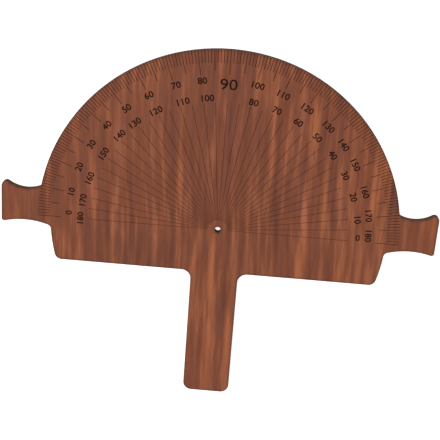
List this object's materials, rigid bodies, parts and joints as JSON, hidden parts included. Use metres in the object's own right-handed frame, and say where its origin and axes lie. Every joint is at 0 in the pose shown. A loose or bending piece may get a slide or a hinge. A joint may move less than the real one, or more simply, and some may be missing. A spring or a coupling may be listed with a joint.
{
  "type": "protractor board",
  "caption": "Flat half-round wooden protractor board with a hand grip, flared ears, an engraved degree scale and a clear pivot hole at its centre.",
  "frame": {"origin": "centre of the pivot hole, on the back face", "axes": "+Z out of the marked face along the pivot hole, +Y towards 90 degrees on the scale, +X towards the right-hand ear as the marked face is read"},
  "size_m": [0.301, 0.2518, 0.005],
  "materials": {
    "face_veneer": "satin, stained red-brown, engraved lines burnt dark",
    "inner_ply": "matt, cut edges burnt dark"
  },
  "bodies": {
    "root": {"back_face_veneer": "face_veneer", "back_crossband": "inner_ply", "core_ply": "inner_ply", "front_crossband": "inner_ply", "front_face_veneer": "face_veneer"}
  },
  "joints": []
}
